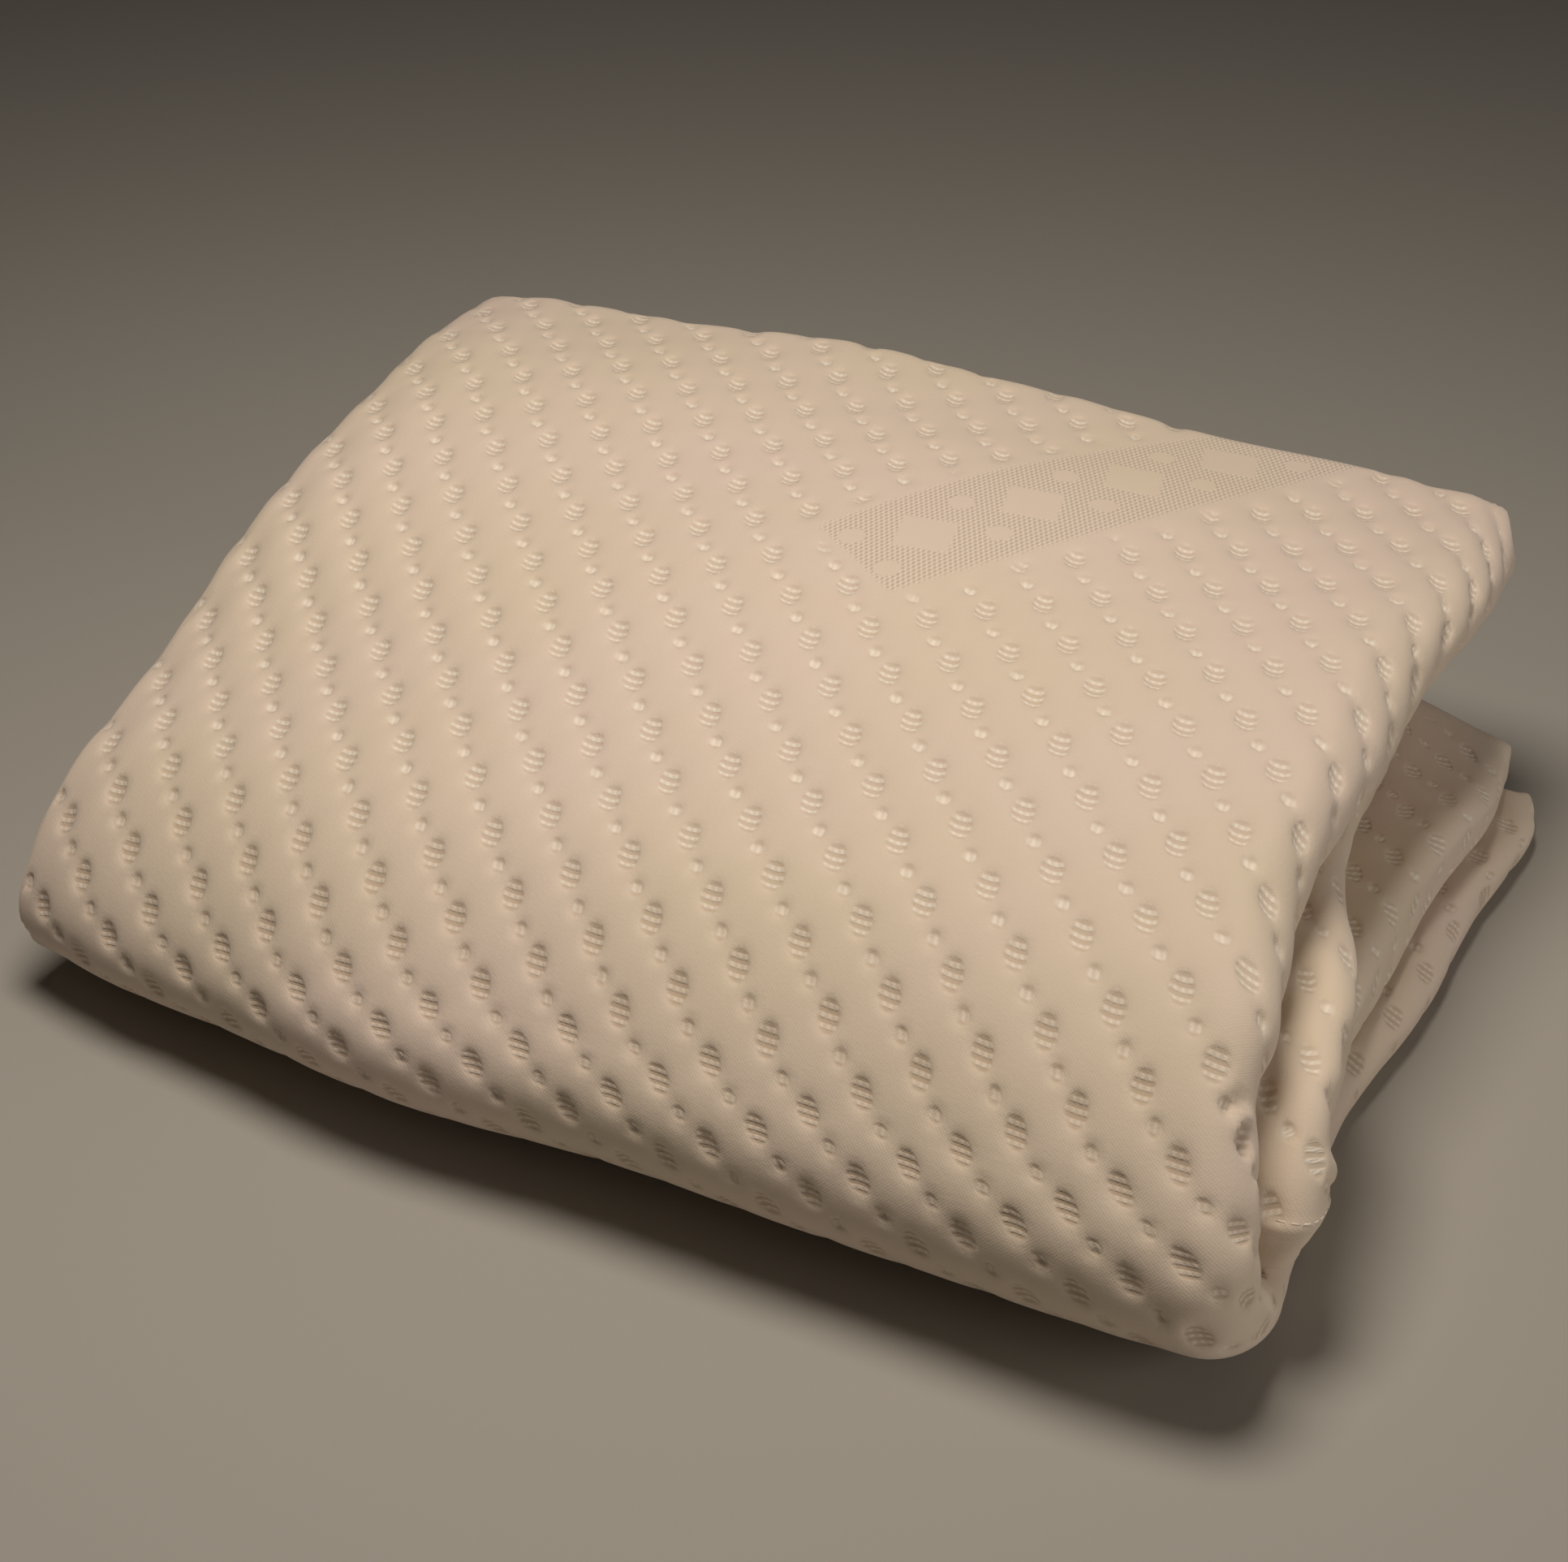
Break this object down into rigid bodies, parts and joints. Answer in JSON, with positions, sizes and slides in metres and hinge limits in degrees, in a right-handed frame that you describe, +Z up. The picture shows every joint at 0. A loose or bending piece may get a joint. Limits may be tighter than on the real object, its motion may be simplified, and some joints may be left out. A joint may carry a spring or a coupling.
{
  "type": "folded mattress protector",
  "caption": "Quilted knit bed protector folded into a soft rectangular stack with a rounded front fold and layered bulges on one side, lying flat.",
  "frame": {"origin": "on the floor under the middle of the folded stack", "axes": "+X along the long side towards the open bulges, +Y from the front fold towards the layered back edge, +Z up"},
  "size_m": [0.3724, 0.2976, 0.1167],
  "materials": {
    "quilted_knit": "matte"
  },
  "bodies": {
    "root": {"quilted_cloth": "quilted_knit"}
  },
  "joints": []
}
